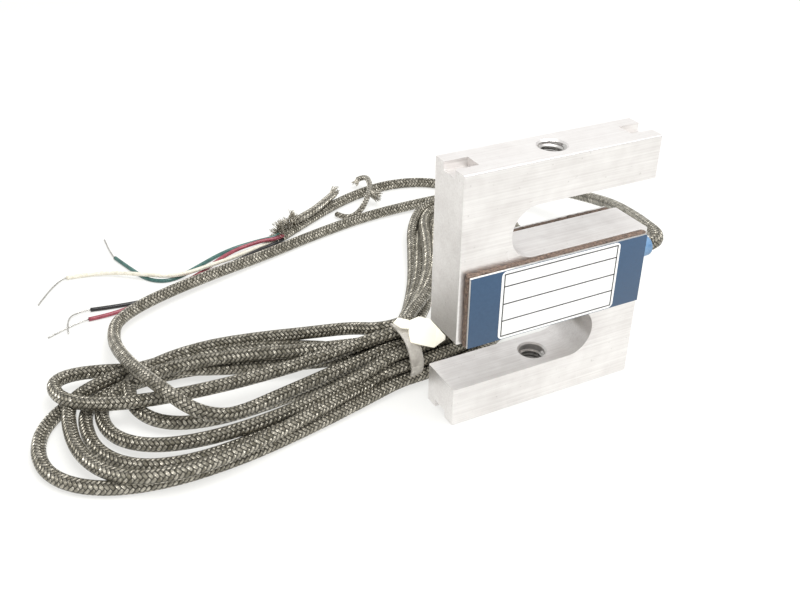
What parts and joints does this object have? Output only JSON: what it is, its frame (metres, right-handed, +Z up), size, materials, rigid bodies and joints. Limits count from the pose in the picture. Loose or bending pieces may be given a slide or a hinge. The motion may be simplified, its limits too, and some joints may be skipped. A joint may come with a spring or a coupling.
{
  "type": "s type load cell",
  "caption": "S shaped force sensor block with threaded holes, sealed side covers and a coiled shielded cable that ends in bare wires.",
  "frame": {"origin": "centre of the threaded hole at the bottom face of the S element", "axes": "+Z up along the load axis through both threaded holes, +X towards the cable exit, -Y is the labelled face"},
  "size_m": [0.176, 0.132, 0.0635],
  "materials": {
    "bare_shield": "twisted strands",
    "boot_blue": "satin",
    "brown_sealant": "matte",
    "cover_plate": "satin",
    "gauge_film": "satin",
    "label_blue": "satin",
    "label_white": "satin",
    "machined_aluminium": "satin",
    "terminal_board": "satin",
    "tie_cream": "matte",
    "tinned_strand": "satin",
    "wire_black": "satin",
    "wire_green": "satin",
    "wire_red": "satin",
    "wire_white": "satin",
    "woven_shield": "woven"
  },
  "bodies": {
    "root": {"bare_end_black": "tinned_strand", "bare_end_green": "tinned_strand", "bare_end_red": "tinned_strand", "bare_end_white": "tinned_strand", "cable_boot": "boot_blue", "cable_hank": "woven_shield", "cable_lead": "woven_shield", "cable_tail": "woven_shield", "front_cover_plate": "cover_plate", "front_sealing_bed": "brown_sealant", "inner_cable": "woven_shield", "inner_lead_black": "wire_black", "inner_lead_green": "wire_green", "inner_lead_red": "wire_red", "inner_lead_white": "wire_white", "label_film": "label_blue", "label_panel": "label_white", "load_cell_body": "machined_aluminium", "rear_cover_plate": "cover_plate", "rear_sealing_bed": "brown_sealant", "shield_tail_hooked": "bare_shield", "shield_tail_laid": "bare_shield", "strain_gauge_lower_left": "gauge_film", "strain_gauge_lower_right": "gauge_film", "strain_gauge_upper_left": "gauge_film", "strain_gauge_upper_right": "gauge_film", "terminal_board": "terminal_board", "tie_band": "tie_cream", "tie_flag": "tie_cream", "wire_black": "wire_black", "wire_green": "wire_green", "wire_red": "wire_red", "wire_white": "wire_white"}
  },
  "joints": []
}
